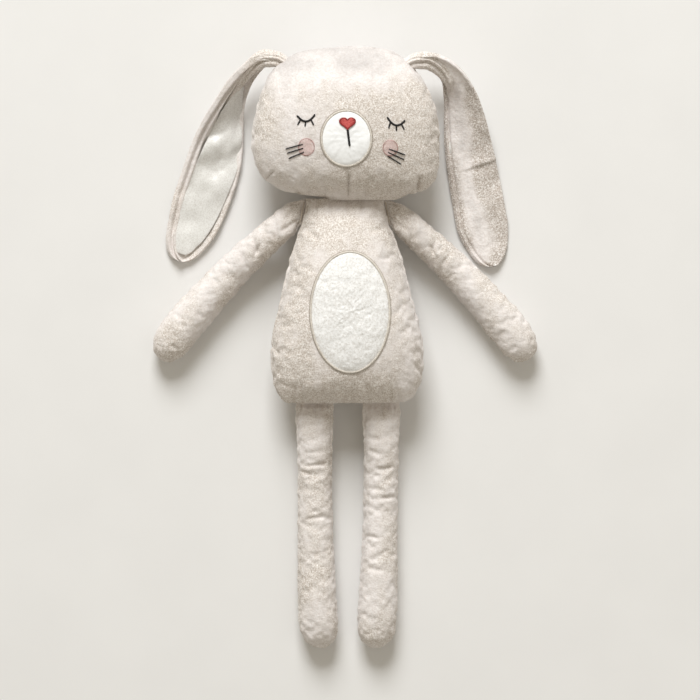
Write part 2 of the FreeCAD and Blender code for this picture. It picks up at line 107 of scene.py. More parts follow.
# Creases across a leg's front: from, to, depth, width.
LEG_CREASES = {
    "right": [
        ((-27.0, -52.0), (-12.5, -50.5), 0.6, 1.7), ((-29.0, -62.5), (-17.0, -61.0), 0.6, 1.8),
        ((-27.5, -71.0), (-11.0, -68.5), 0.7, 1.8), ((-26.5, -79.4), (-11.6, -77.2), 1.3, 1.3),
        ((-30.0, -81.8), (-19.8, -85.2), 1.3, 1.3), ((-28.0, -95.5), (-15.0, -94.5), 0.5, 2.0),
        ((-22.5, -113.6), (-11.0, -112.8), 1.2, 1.3), ((-27.0, -117.5), (-19.0, -119.5), 0.6, 1.6),
        ((-26.0, -138.0), (-13.0, -137.0), 0.4, 2.0),
    ],
    "left": [
        ((17.5, -49.0), (31.0, -47.5), 0.5, 1.8), ((15.5, -60.0), (27.0, -61.5), 0.7, 1.7),
        ((16.0, -68.0), (25.0, -71.5), 0.9, 1.5), ((22.0, -81.4), (34.0, -79.2), 1.3, 1.3),
        ((14.5, -83.5), (22.0, -86.0), 0.7, 1.5), ((15.0, -93.0), (27.5, -95.5), 0.8, 1.5),
        ((23.6, -100.6), (34.8, -99.2), 1.4, 1.3), ((15.0, -106.0), (24.0, -107.5), 0.5, 1.7),
        ((14.0, -125.4), (24.0, -126.8), 1.1, 1.3), ((14.5, -146.6), (28.0, -149.0), 0.9, 1.5),
    ],
}

# Stations of the left arm from the middle of the shoulders: x, y, z, half width, half depth.
SHOULDER_LEAN = -0.2
ARM = [
    (25.6, 91.2, 20.4, 8.0, 2.0), (30.2, 89.4, 20.4, 8.6, 3.0), (36.0, 86.0, 20.8, 9.2, 4.8),
    (43.6, 79.8, 20.8, 9.5, 6.4), (52.0, 72.2, 17.5, 9.9, 8.2), (65.0, 60.6, 14.0, 10.7, 9.5),
    (80.0, 45.6, 11.0, 11.4, 10.2), (94.6, 29.6, 10.7, 12.2, 10.6), (106.0, 16.6, 11.0, 12.9, 10.9),
    (114.4, 5.4, 10.7, 12.6, 10.5), (119.8, -2.6, 10.0, 9.4, 8.6), (122.6, -7.0, 9.6, 4.2, 4.0),
    (123.1, -7.8, 9.5, 0.0, 0.0),
]

ARM_PULLS = [                  # creases across the left arm's front: from, to, depth, width
    ((31, 96), (41, 84), 1.3, 1.5), ((31, 85), (43, 77), 1.0, 1.4), ((47, 86), (44, 70), 1.1, 1.4),
    ((61, 73), (58, 61), 1.3, 1.2), ((56, 70), (60, 60), 1.1, 1.2), ((71, 65), (64, 52), 0.7, 1.6),
]

# Stations of an ear's root: x, y, z, half thickness, half height. Of its blade: x, y, z, half width, turn.
EAR_ROOTS = {
    "right": [
        (-36.5, 186.6, 29.0, 3.4, 5.0), (-40.8, 190.0, 29.0, 4.8, 5.8), (-46.4, 192.3, 28.4, 5.6, 6.4),
        (-52.4, 192.4, 27.0, 5.8, 6.6), (-58.2, 189.4, 24.6, 5.6, 6.2), (-63.6, 184.2, 21.8, 4.6, 5.4),
        (-68.4, 177.8, 18.8, 3.8, 4.2), (-73.6, 169.4, 15.4, 2.6, 2.8), (-78.6, 160.6, 12.0, 1.2, 1.3),
    ],
    "left": [
        (38.8, 185.6, 29.0, 3.4, 5.0), (43.2, 188.8, 29.0, 4.6, 5.8), (49.0, 190.8, 28.4, 5.6, 6.4),
        (55.0, 191.0, 27.0, 6.0, 6.6), (61.0, 188.6, 24.8, 5.8, 6.2), (66.6, 183.4, 22.0, 4.8, 5.4),
        (70.4, 176.4, 19.0, 3.6, 4.2), (72.0, 170.4, 14.4, 1.2, 1.6),
    ],
}
EAR_BLADES = {
    "right": [
        (-42.0, 190.6, 28.6, 3.0, 74), (-48.0, 192.4, 27.6, 5.6, 70), (-54.2, 191.7, 25.6, 7.4, 64),
        (-60.0, 187.8, 22.8, 8.6, 58), (-65.6, 181.4, 19.8, 10.0, 53), (-71.4, 173.0, 16.2, 11.0, 46),
        (-76.0, 162.6, 12.8, 12.4, 37), (-79.8, 150.4, 9.4, 14.8, 26), (-83.6, 136.0, 6.4, 17.2, 13),
        (-88.2, 118.4, 4.2, 18.8, 5), (-94.0, 101.4, 2.8, 18.8, 0), (-99.8, 84.6, 2.4, 17.4, 0),
        (-105.4, 71.4, 2.4, 14.2, 0), (-108.8, 62.6, 2.4, 9.8, 0), (-110.2, 58.6, 2.4, 4.6, 0),
        (-110.5, 57.8, 2.4, 0.0, 0),
    ],
    "left": [
        (44.0, 189.2, 28.6, 3.0, 106), (50.4, 190.8, 27.8, 6.0, 110), (57.4, 190.0, 25.8, 8.4, 118),
        (64.2, 186.8, 22.8, 9.8, 124), (70.0, 181.6, 20.0, 11.0, 130), (74.8, 174.6, 17.0, 12.4, 138),
        (78.2, 165.0, 13.6, 13.6, 147), (80.6, 152.0, 10.0, 14.8, 158), (82.8, 137.4, 7.0, 15.8, 167),
        (85.6, 121.4, 4.4, 16.6, 174), (89.1, 101.8, 3.0, 17.2, 180), (92.3, 84.0, 2.4, 17.2, 180),
        (95.7, 70.4, 2.4, 14.6, 180), (98.0, 59.6, 2.4, 9.8, 180), (98.9, 54.7, 2.4, 4.4, 180),
        (99.0, 53.9, 2.4, 0.0, 180),
    ],
}
# Where the left ear's nap is brushed down.
BRUSHED = [
    (68, 191), (77.5, 180), (75.5, 163), (76, 147), (80, 130), (83, 112), (87, 92), (92, 72), (93.5, 60),
]

BELLY = (4.4, 23.6, 26.8, 40.6)            # centre x, y, half width, half height
MUZZLE = (1.9, 138.4, 17.2, 19.1)
PATCH_INSET = 0.9                          # how far a patch's edge lies inside its border's
PATCH_LIFT, PATCH_UNDER = 0.15, -0.4       # heights of a patch's edge and of its underside over the skin

# A closed eye's lid through three points, and its lashes.
EYES = {
    "right": ((-30.6, 153.4), (-24.6, 149.6), (-18.8, 154.1), [
        ((-28.3, 150.9), (-30.2, 147.4)), ((-24.9, 149.7), (-25.4, 146.4)), ((-21.4, 150.6), (-19.8, 147.3)),
    ]),
    "left": ((29.0, 152.3), (34.6, 147.1), (40.6, 150.3), [
        ((31.0, 149.0), (29.8, 145.2)), ((34.9, 147.2), (34.9, 143.6)), ((38.2, 148.0), (40.0, 144.5)),
    ]),
}
WHISKERS = {
    "right": [
        ((-38.0, 131.6), (-26.9, 134.5)), ((-37.0, 128.8), (-26.6, 131.8)), ((-36.0, 125.3), (-26.2, 129.3)),
    ],
    "left": [((30.0, 131.4), (40.4, 127.7)), ((29.6, 129.2), (39.9, 124.5)), ((29.2, 126.8), (37.8, 121.6))],
}
CHEEKS = {"right": (-24.5, 132.7, 5.2, 5.6), "left": (30.9, 132.1, 4.8, 5.2)}
MOUTH = [(2.7, 144.2), (4.0, 133.4)]
HEART = (2.6, 147.8, 10.2, 7.6)            # centre x, y, width, height
LINE = 1.25                                # width of the embroidered lines
# Darts in the head's front: from, to, depth, width.
DARTS = [((3.0, 100.8), (3.6, 115.0), 2.3, 1.1), ((-51.2, 112.4), (-46.0, 117.0), 1.3, 1.0),
         ((49.4, 104.0), (50.8, 112.8), 2.8, 1.1)]

CLOTH_STEP = 3                 # the simulated cloth has one point for so many of the finished skin's
CLOTH_FRAMES = 20
CLOTH_UNEVEN, CLOTH_UNEVEN_SIZE = 0.3, 7.0     # height and size of the unevenness the stuffing starts with
CLOTH_SETTINGS = {
    "quality": 6, "mass": 0.02, "tension_stiffness": 15.0, "compression_stiffness": 15.0,
    "shear_stiffness": 5.0, "vertex_group_mass": "sewn", "use_pressure": True,
    "uniform_pressure_force": 100.0,
}


# ---- curves and grids ----
def smooth(xs, ys, x):
    """Values at x of a smooth curve through (xs, ys) that never overshoots."""
    xs, ys = np.asarray(xs, float), np.asarray(ys, float)
    steps = np.diff(xs)
    slopes = np.diff(ys) / steps
    tangents = np.empty_like(ys)
    tangents[0], tangents[-1] = slopes[0], slopes[-1]
    before, after = slopes[:-1], slopes[1:]
    same = before * after > 0
    total = np.where(same, before + after, 1.0)
    tangents[1:-1] = np.where(same, 2 * before * after / total, 0.0)
    i = np.clip(np.searchsorted(xs, x, side="right") - 1, 0, len(xs) - 2)
    t = (x - xs[i]) / steps[i]
    h = steps[i]
    return (
        ys[i] * (2 * t**3 - 3 * t**2 + 1)
        + tangents[i] * h * (t**3 - 2 * t**2 + t)
        + ys[i + 1] * (3 * t**2 - 2 * t**3)
        + tangents[i + 1] * h * (t**3 - t**2)
    )


def travelled(points):
    """The distance along a route at each of its points."""
    return np.concatenate([[0], np.cumsum(np.linalg.norm(np.diff(points, axis=0), axis=1))])


def resampled(stations, rows):
    """That many rows at even spacing over the surface, through the given stations."""
    table = np.array(stations, float)
    index = np.arange(len(table))
    fine = np.linspace(0, len(table) - 1, 40 * len(table))
    dense = np.stack([smooth(index, table[:, c], fine) for c in range(table.shape[1])], axis=1)
    length = travelled(dense[:, :4])
    wanted = np.interp(np.linspace(0, length[-1], rows), length, fine)
    return np.stack([smooth(index, table[:, c], wanted) for c in range(table.shape[1])], axis=1)


def level_sides(centres):
    """The level direction across a route at each of its points."""
    along = np.gradient(centres, axis=0)
    return unit(np.stack([along[:, 1], -along[:, 0], np.zeros(len(along))], axis=1))


def unit(v):
    """The vectors with a length of 1."""
    return v / np.maximum(np.linalg.norm(v, axis=-1, keepdims=True), 1e-12)


def grid_normals(grid):
    """Outward normals of a (rows, around, 3) grid that closes on itself round each row."""
    down = np.gradient(grid, axis=0)
    across = np.roll(grid, -1, axis=1) - np.roll(grid, 1, axis=1)
    normals = np.cross(across, down)
    outward = grid - grid.mean(axis=1, keepdims=True)
    flip = np.sign((normals * outward).sum(axis=(1, 2), keepdims=True))
    return unit(normals * flip)


def field(points, scale, seed):
    """Smooth noise from about -1 to 1 at points, with features of about scale."""
    flat = points.reshape(-1, 3) / scale + seed * 17.13
    values = [noise.fractal(Vector(p), 1.0, 2.0, 2) for p in flat]
    return np.array(values).reshape(points.shape[:-1])


def bump(distance, width):
    """A smooth bump of height 1 at distance 0."""
    return np.exp(-((distance / width) ** 2))


def segment_distance(points, start, end):
    """Level distance of points from a segment, and how far along it each lies, from 0 to 1."""
    p = points[..., :2]
    a, b = np.array(start[:2], float), np.array(end[:2], float)
    t = np.clip(((p - a) @ (b - a)) / ((b - a) @ (b - a)), 0, 1)
    return np.linalg.norm(p - (a + t[..., None] * (b - a)), axis=-1), t


# ---- meshes ----
def mesh_object(name, points, faces):
    """A smooth-shaded object from points in millimetres."""
    mesh = bpy.data.meshes.new(name)
    mesh.from_pydata((np.asarray(points) * MM).tolist(), [], faces)
    mesh.validate()
    bm = bmesh.new()
    bm.from_mesh(mesh)
    bmesh.ops.remove_doubles(bm, verts=bm.verts, dist=1e-6)
    bmesh.ops.recalc_face_normals(bm, faces=bm.faces)
    bm.to_mesh(mesh)
    bm.free()
    mesh.polygons.foreach_set("use_smooth", [True] * len(mesh.polygons))
    return add_object(name, mesh)


def tube_faces(rows, around, first=0):
    """Quads of a closed tube of rows rings, with a fan at each end."""
    faces = []
    for r in range(rows - 1):
        for c in range(around):
            d = (c + 1) % around
            a, b = first + r * around, first + (r + 1) * around
            faces.append((a + c, a + d, b + d, b + c))
    start, end = first + rows * around, first + rows * around + 1
    last = first + (rows - 1) * around
    for c in range(around):
        d = (c + 1) % around
        faces.append((start, first + d, first + c))
        faces.append((end, last + c, last + d))
    return faces


def tube_object(name, grid):
    """A closed object from a (rows, around, 3) grid."""
    rows, around, _ = grid.shape
    ends = np.stack([grid[0].mean(axis=0), grid[-1].mean(axis=0)])
    return mesh_object(name, np.concatenate([grid.reshape(-1, 3), ends]), tube_faces(rows, around))


def thread_tubes(name, paths, radius, sides=6):
    """Threads along paths of points, thinner at both ends."""
    all_points, all_faces = [], []
    first = 0
    for path in paths:
        along = unit(np.gradient(path, axis=0))
        side = unit(np.cross(along, UP))
        up = np.cross(side, along)
        taper = (0.55 + 0.45 * np.sin(np.pi * np.linspace(0, 1, len(path))) ** 0.5) * radius
        angle = 2 * np.pi * np.arange(sides) / sides
        ring = side[:, None, :] * np.cos(angle)[None, :, None] + up[:, None, :] * np.sin(angle)[None, :, None]
        grid = path[:, None, :] + ring * taper[:, None, None]
        ends = np.stack([path[0] - along[0] * radius * 0.5, path[-1] + along[-1] * radius * 0.5])
        all_points.append(np.concatenate([grid.reshape(-1, 3), ends]))
        all_faces += tube_faces(len(path), sides, first)
        first += len(path) * sides + 2
    return mesh_object(name, np.concatenate(all_points), all_faces)


def skin_tree(*objects):
    """A ray-cast tree over several meshes, in metres."""
    points, faces = [], []
    for obj in objects:
        first = len(points)
        points += [v.co.copy() for v in obj.data.vertices]
        faces += [tuple(first + i for i in p.vertices) for p in obj.data.polygons]
    return BVHTree.FromPolygons(points, faces)


def on_skin(tree, x, y, lift):
    """The point of the front skin above (x, y), raised by lift along the skin's normal."""
    hit, normal, _, _ = tree.ray_cast(Vector((x * MM, y * MM, 0.2)), Vector((0, 0, -1)))
    if normal.z < 0:
        normal = -normal
    point = hit / MM + normal * lift
    return np.array(point)


# ---- stuffed skins ----
def oval_grid(rows, around, side=None, first_side=None, first_reach=None):
    """Ovals of (x, y, z, half width, half depth) rows, as a (rows, around, 3) grid.

    side is the direction of every oval where they don't turn with the route. first_side is the direction of
    the first oval, where it is sewn along a seam, and first_reach the share of the route that follows it.
    """
    centres = rows[:, :3]
    sides = level_sides(centres) if side is None else np.tile(np.array(side, float), (len(rows), 1))
    if first_side is not None:
        t = np.linspace(0, 1, len(rows))[:, None]
        weight = np.exp(-((t / first_reach) ** 2))
        sides = unit(sides * (1 - weight) + np.array(first_side) * weight)
    angle = 2 * np.pi * np.arange(around) / around
    wide = rows[:, 3, None, None] * np.cos(angle)[None, :, None] * sides[:, None, :]
    deep = rows[:, 4, None, None] * np.sin(angle)[None, :, None] * UP
    return centres[:, None, :] + wide + deep


def pile(grid, seed, fine=0.16, coarse=0.28):
    """Height of the brushed pile: clumps of fibre and slow dents."""
    return fine * field(grid, 1.7, seed) + coarse * field(grid, 5.5, seed + 1)


def side_seam(grid, rows, depth, pucker, pitch, seed):
    """The pull of the side seam: a groove along the middle of each side and small puckers beside it."""
    height = grid[..., 2] - rows[:, None, 2]
    distance = travelled(rows[:, :3])
    wander = field(np.stack([distance, np.full_like(distance, seed * 9), distance * 0], axis=1), 14.0, seed)
    waves = np.sin(2 * np.pi * distance / pitch + 4.0 * wander)[:, None]
    groove = bump(height - 1.5, 0.8) + bump(height + 1.5, 0.8)
    return 0.3 * bump(height, 0.7) - depth * groove + pucker * waves * bump(height, 5.0)


def creases(points, lines):
    """Grooves along level segments, each (start, end, depth, width), with a soft ridge on each side."""
    total = np.zeros(points.shape[:-1])
    for start, end, depth, width in lines:
        distance, t = segment_distance(points, start, end)
        fade = np.clip(np.sin(np.pi * np.clip(t, 0.02, 0.98)), 0, 1) ** 0.5
        ridge = 0.12 * bump(distance - 2.4 * width, 1.4 * width)
        total += fade * depth * (ridge - bump(distance, width))
    return total


def along_stations(rows, start_x, start_y, heading, drift=0.0, power=1):
    """(x, y, z, half width, half depth) stations of a part that runs along +Y or -Y."""
    length = rows[-1][0]
    made = []
    for along, width, depth, height, *shift in rows:
        x = start_x + drift * max(along / length, 0.0) ** power + sum(shift)
        made.append((x, start_y + heading * along, height, width, depth))
    return made


def finer(values, rows, around):
    """Values on a coarse closed grid, spread smoothly over one of rows and around."""
    def spread(data, count, wraps):
        size = len(data)
        place = np.arange(count) * (size / count if wraps else (size - 1) / (count - 1))
        i = np.floor(place).astype(int)
        t = (place - i)[:, None, None]
        beside = [(i + k) % size if wraps else np.clip(i + k, 0, size - 1) for k in (-1, 0, 1, 2)]
        a, b, c, d = data[beside]
        return b + 0.5 * t * (c - a + t * (2 * a - 5 * b + 4 * c - d + t * (3 * (b - c) + d - a)))
    tall = spread(values, rows, False)
    return np.swapaxes(spread(np.swapaxes(tall, 0, 1), around, True), 0, 1)


def blown_up(grid, grow, cap, bending, seed):
    """The grid after a cloth simulation: cut larger than the shape by the share grow, held along its
    seams and ends, and puffed. No point moves more than cap, and the ends stay where they are sewn.
    """
    rows, around, _ = grid.shape
    coarse = grid[::CLOTH_STEP, ::CLOTH_STEP]
    count, ring, _ = coarse.shape
    closed = np.allclose(coarse[-1], coarse[-1, 0])
    used = count - 1 if closed else count
    lumps = CLOTH_UNEVEN * field(coarse, CLOTH_UNEVEN_SIZE, seed)
    uneven = coarse + grid_normals(coarse) * lumps[..., None]
    ends = np.stack([coarse[0].mean(axis=0), coarse[used - 1].mean(axis=0)])
    obj = mesh_object("cloth", np.concatenate([uneven[:used].reshape(-1, 3), ends]), tube_faces(used, ring))
    sewn = obj.vertex_groups.new(name="sewn")
    seam = {r * ring + c for r in range(used) for c in (0, ring // 2)}
    first, last = set(range(2 * ring)), set(range((used - 2) * ring, used * ring + 2))
    sewn.add(sorted(seam | first | last), 1.0, "REPLACE")
    cloth = obj.modifiers.new("cloth", "CLOTH")
    for setting, value in {**CLOTH_SETTINGS, "bending_stiffness": bending, "shrink_min": -grow}.items():
        setattr(cloth.settings, setting, value)
    cloth.settings.effector_weights.gravity = 0.0
    cloth.point_cache.frame_start, cloth.point_cache.frame_end = 1, CLOTH_FRAMES
    for step in range(1, CLOTH_FRAMES + 1):
        bpy.context.scene.frame_set(step)
    moved = obj.evaluated_get(bpy.context.evaluated_depsgraph_get()).to_mesh()
    points = np.empty(len(moved.vertices) * 3)
    moved.vertices.foreach_get("co", points)
    puffed = coarse.copy()
    puffed[:used] = points.reshape(-1, 3)[:used * ring].reshape(used, ring, 3) / MM
    bpy.data.objects.remove(obj)
    bpy.context.scene.frame_set(1)
    shift = puffed - coarse
    size = np.linalg.norm(shift, axis=-1, keepdims=True)
    from_end = np.minimum(np.arange(count), count - 1 - np.arange(count))
    ease = 1 - bump(from_end, 2.5)
    shift *= np.tanh(size / cap) * cap / np.maximum(size, 1e-9) * ease[:, None, None]
    return grid + finer(shift, rows, around)


def flattened(grid, softness=2.2):
    """The grid resting on the floor: what would be below it spreads flat."""
    z = grid[..., 2]
    rested = grid.copy()
    rested[..., 2] = np.where(z < softness, softness * np.exp(np.minimum(z / softness - 1, 0)), z)
    return rested


# ---- materials ----
def rgb(r, g, b):
    """A linear colour from 0-255 screen values."""
    def linear(c):
        c /= 255
        return c / 12.92 if c <= 0.04045 else ((c + 0.055) / 1.055) ** 2.4
    return (linear(r), linear(g), linear(b), 1.0)


class Shader:
    """Helper that builds one procedural material."""

    def __init__(self, name, roughness=0.9, sheen=0.0, sheen_roughness=0.5, specular=0.25):
        self.material = bpy.data.materials.new(name)
        self.material.use_nodes = True
        self.tree = self.material.node_tree
        self.principled = self.tree.nodes["Principled BSDF"]
        for socket, value in (("Roughness", roughness), ("Sheen Weight", sheen),
                              ("Sheen Roughness", sheen_roughness), ("Specular IOR Level", specular)):
            self.principled.inputs[socket].default_value = value
        self.coords = self.tree.nodes.new("ShaderNodeTexCoord")

    def node(self, kind, **values):
        made = self.tree.nodes.new(kind)
        for key, value in values.items():
            setattr(made, key, value)
        return made

    def link(self, a, b):
        self.tree.links.new(a, b)

    def noise(self, size_mm, detail=3.0, roughness=0.6, stretch=(1, 1, 1)):
        """A noise output with features of about size_mm."""
        mapping = self.node("ShaderNodeMapping")
        mapping.inputs["Scale"].default_value = stretch
        made = self.node("ShaderNodeTexNoise")
        made.inputs["Scale"].default_value = 1000.0 / size_mm
        made.inputs["Detail"].default_value = detail
        made.inputs["Roughness"].default_value = roughness
        self.link(self.coords.outputs["Object"], mapping.inputs["Vector"])
        self.link(mapping.outputs["Vector"], made.inputs["Vector"])
        return made.outputs["Fac"]

    def ramp(self, source, stops):
        """Colours or greys along a source, at stops of (place, colour)."""
        made = self.node("ShaderNodeValToRGB")
        elements = made.color_ramp.elements
        while len(elements) < len(stops):
            elements.new(0.5)
        for element, (place, colour) in zip(elements, stops):
            element.position = place
            element.color = colour
        self.link(source, made.inputs["Fac"])
        return made.outputs["Color"]

    def mix(self, a, b, factor, blend="MIX"):
        made = self.node("ShaderNodeMix", data_type="RGBA", blend_type=blend)
        for socket, value in ((made.inputs[6], a), (made.inputs[7], b), (made.inputs[0], factor)):
            if isinstance(value, bpy.types.NodeSocket):
                self.link(value, socket)
            else:
                socket.default_value = value
        return made.outputs[2]

    def bumps(self, *layers):
        """Bump layers of (height output, strength, distance in mm), one over the other."""
        normal = None
        for height, strength, distance in layers:
            made = self.node("ShaderNodeBump")
            made.inputs["Strength"].default_value = strength
            made.inputs["Distance"].default_value = distance * MM
            self.link(height, made.inputs["Height"])
            if normal is not None:
                self.link(normal, made.inputs["Normal"])
            normal = made.outputs["Normal"]
        self.link(normal, self.principled.inputs["Normal"])

    def colour(self, output):
        """Gives the material its colour."""
        self.link(output, self.principled.inputs["Base Color"])


def grey(v):
    """A linear grey."""
    return (v, v, v, 1.0)


def plush_material(name, painted_shade_pits, between, painted_glint_tips):
    """Brushed pile: smooth where the nap lies down; painted shade and painted glints where it stands up."""
    s = Shader(name, roughness=0.9, sheen=0.3, sheen_roughness=0.4, specular=0.15)
    laid = s.node("ShaderNodeAttribute", attribute_name="nap")
    place = s.node("ShaderNodeMath", operation="ADD")
    s.link(s.noise(24.0, 3.0, 0.6, (1.0, 0.55, 1.0)), place.inputs[0])
    s.link(laid.outputs["Fac"], place.inputs[1])
    nap = s.ramp(place.outputs["Value"], [(0.40, grey(0.0)), (0.60, grey(1.0))])
    lying = s.ramp(s.noise(1.4, 3.0, 0.7), [(0.36, rgb(228, 220, 216)), (0.60, rgb(240, 235, 233))])
    # Where the nap stands up: dark pits are painted shade between the fibres, bright tips painted glints of
    # lamp light.
    standing = s.ramp(s.noise(1.0, 4.0, 0.8), [(0.37, painted_shade_pits), (0.49, between), (0.60, painted_glint_tips)])
    clump = s.ramp(s.noise(6.0, 3.0, 0.6), [(0.35, grey(0.95)), (0.65, grey(1.0))])
    # Painted shade: where the nap lies flattest, chiefly on the head's crown, the colour is darkened to tone
    # down the lamp.
    painted_shade_where_flat = s.ramp(place.outputs["Value"], [(0.66, grey(1.0)), (0.98, grey(0.74))])
    s.colour(s.mix(s.mix(s.mix(standing, lying, nap), clump, 1.0, "MULTIPLY"), painted_shade_where_flat, 1.0, "MULTIPLY"))
    s.bumps((s.noise(5.5, 3.0, 0.6), 0.6, 0.8), (s.noise(1.1, 3.0, 0.7), 0.9, 0.45))
    return s.material


def white_cloth_material(name, light, dark, pile_mm, bump_mm, sheen, roughness=0.9, specular=0.2):
    """White cloth with a short pile or a satin face."""
    s = Shader(name, roughness=roughness, sheen=sheen, sheen_roughness=0.4, specular=specular)
    base = s.ramp(s.noise(pile_mm, 4.0, 0.7), [(0.34, dark), (0.58, light)])
    patch = s.ramp(s.noise(18.0, 2.0, 0.5), [(0.35, grey(0.97)), (0.65, grey(1.0))])
    s.colour(s.mix(base, patch, 1.0, "MULTIPLY"))
    s.bumps((s.noise(pile_mm * 3, 2.0, 0.5), 0.4, bump_mm), (s.noise(pile_mm * 0.8, 3.0, 0.7), 0.8, bump_mm))
    return s.material


def thread_material(name, light, dark, sheen=0.2, roughness=0.6):
    """Twisted embroidery thread: fine streaks of lighter and darker fibre."""
    s = Shader(name, roughness=roughness, sheen=sheen, specular=0.4)
    s.colour(s.ramp(s.noise(0.7, 3.0, 0.6), [(0.35, dark), (0.65, light)]))
    s.bumps((s.noise(0.35, 2.0, 0.5), 0.5, 0.08))
    return s.material


# Standing nap colours: painted shade in the pits, a mid tone, painted glints on the tips; the ear copy has
# deeper painted shade.
PLUSH = plush_material("plush_beige", rgb(188, 176, 165), rgb(217, 208, 200), rgb(248, 244, 240))
EAR_PLUSH = plush_material("plush_beige_ears", rgb(168, 155, 144), rgb(202, 192, 184), rgb(248, 245, 242))
LINING = white_cloth_material("ear_lining", rgb(233, 232, 229), rgb(212, 209, 204), 1.0, 0.1, 0.5, 0.32, 0.6)
TERRY = white_cloth_material("belly_terry", rgb(248, 248, 248), rgb(220, 217, 213), 1.3, 0.3, 0.2, 0.95)
VELOUR = white_cloth_material("muzzle_velour", rgb(253, 254, 255), rgb(249, 249, 249), 1.1, 0.06, 0.3, 0.9)
BORDER_GREY = thread_material("border_taupe", rgb(208, 199, 188), rgb(166, 156, 144))
BORDER_CREAM = thread_material("border_cream", rgb(242, 237, 229), rgb(214, 205, 194))
RED = thread_material("thread_red", rgb(226, 108, 103), rgb(192, 72, 69))
DARK_RED = thread_material("thread_dark_red", rgb(176, 44, 44), rgb(132, 26, 30))
BLACK = thread_material("thread_black", rgb(34, 32, 33), rgb(10, 9, 10), sheen=0.05, roughness=0.6)
PINK = thread_material("thread_pink", rgb(250, 232, 229), rgb(235, 208, 204))
ROSE = thread_material("thread_rose", rgb(206, 158, 154), rgb(172, 122, 118))
BEIGE_THREAD = thread_material("thread_beige", rgb(198, 186, 172), rgb(160, 148, 134))


def brush(piece, amount):
    """Lays the nap down where amount is above 0 and stands it up where below, from points in millimetres."""
    count = len(piece.data.vertices)
    points = np.empty(count * 3)
    piece.data.vertices.foreach_get("co", points)
    values = amount(points.reshape(-1, 3) / MM)
    piece.data.attributes.new("nap", "FLOAT", "POINT").data.foreach_set("value", values)


def route_distance(points, route):
    """Level distance of points from a route of (x, y)."""
    return np.min([segment_distance(points, a, b)[0] for a, b in zip(route[:-1], route[1:])], axis=0)


def bend(piece):
    """Bakes the piece's placement into its mesh."""
    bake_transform(piece)


def finish_piece(obj, material, slot, *nodes):
    """Gives a piece its material and hides the CAD nodes it stands for; slot is not used."""
    obj.data.materials.clear()
    obj.data.materials.append(material)
    if nodes:
        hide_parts(*nodes)
    return obj


# ---- the stuffed parts ----
def stuffed_skin(part, grid, rows, seeds, seam, swell, folds):
    """The plush skin of a stuffed part, resting on the floor.

    seeds are those of its pile, its seam and its swelling. seam is the depth of the seam's groove and the
    height and pitch of its puckers, and swell is the height and size of the swelling.
    """
    height = (pile(grid, seeds[0]) + side_seam(grid, rows, *seam, seeds[1])
              + swell[0] * field(grid, swell[1], seeds[2]) + folds)
    points = flattened(grid + grid_normals(grid) * height[..., None])
    skin = tube_object(f"{part}_skin", points)
    finish_piece(skin, PLUSH, "plush", f"{part}_front_panel", f"{part}_back_panel", f"{part}_side_seam",
                 f"{part}_stuffing")
    return skin, points


def torso():
    """The torso's skin with its tucks at the hips and neck, and its grid of points."""
    stations = along_stations(TORSO, HIP_X, HIP_Y, 1, NECK_X - HIP_X)
    rows = resampled(stations, 169)
    grid = blown_up(oval_grid(rows, 264), 0.014, 2.0, 0.1, 1.0)
    low_waves = field(grid * np.array([1, 1, 0.4]), 9.0, 3.0)
    near_hip = bump(grid[..., 1] - HIP_Y, 16.0)
    tucks = [((x, HIP_Y - 2), (x + dx, HIP_Y + 13), 0.9, 1.3)
             for x, dx in ((-34, 3), (-27, -1), (-14, 2), (-5, -2), (6, 1), (17, -2), (31, 1), (38, -3))]
    neck_tucks = [((x, NECK_Y + 2), (x * 1.15, NECK_Y - 12), 0.8, 1.2) for x in (-17, -8, 2, 11, 20)]
    corners = [((46, -9), (53, -19), 1.0, 1.2), ((48, 0), (54, -9), 0.5, 1.4),
               ((40, -22), (50, -27), 0.5, 1.5), ((-50, 2), (-41, -5), 0.7, 1.3),
               ((-48, -12), (-38, -16), 0.4, 1.5), ((-45, -22), (-33, -27), 0.6, 1.4)]
    arm_pulls = [((s * 27 + NECK_X, 80), (s * 17 + NECK_X, 74 + 3 * s), 0.8, 1.6) for s in (-1, 1)]
    folds = creases(grid, tucks + neck_tucks + arm_pulls + corners) * (grid[..., 2] > HINGE_Z)
    skin, points = stuffed_skin("torso", grid, rows, (1.0, 2.0, 5.0), (0.9, 0.2, 11.0), (0.5, 22.0),
                                folds + 0.6 * near_hip * low_waves)
    brush(skin, lambda p: 0.10 * np.tanh((p[:, 0] - 22) / 16.0) - 0.10 * bump(p[:, 1] + 28, 16.0))
    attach(skin, "torso")
    return skin, points


def closing_stitches(grid):
    """Ladder stitches that draw the stuffing opening shut, low on the bunny's right side."""
    seam, below = grid.shape[1] // 2 + 5, grid.shape[1] // 2 + 9
    paths = []
    for k in range(9):
        row = int(np.argmin(np.abs(grid[:, seam, 1] - (6.0 + 4.0 * k))))
        paths.append(np.array([grid[row, seam], grid[row + 1, seam + 2], grid[row + 1, below]]))
    stitches = thread_tubes("closing_stitches_thread", paths, 0.35)
    finish_piece(stitches, BEIGE_THREAD, "beige_thread", "closing_stitches")
    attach(stitches, "torso")


def head():
    """The head's skin with its darts and its gathers at the neck."""
    stations = along_stations(HEAD, 0.0, NECK_Y, 1)
    rows = resampled(stations, 181)
    grid = blown_up(oval_grid(rows, 342, side=(1, 0, 0)), 0.012, 1.8, 0.05, 11.0)
    gathers = [((x, 99), (x * 1.04, 107), 0.7, 1.2) for x in (-30, -22, -12, 14, 24, 34, 43)]
    folds = creases(grid, DARTS + gathers) * (grid[..., 2] > HINGE_Z)
    skin, _ = stuffed_skin("head", grid, rows, (11.0, 12.0, 15.0), (0.8, 0.25, 9.0), (0.4, 26.0), folds)
    # The crown's nap value runs high, so the plush material darkens it with painted shade there.
    brush(skin, lambda p: (0.20 + 0.26 * np.tanh((p[:, 1] - 180) / 10.0)
                           - 0.10 * np.tanh((p[:, 0] + 8) / 26.0)))
    return skin


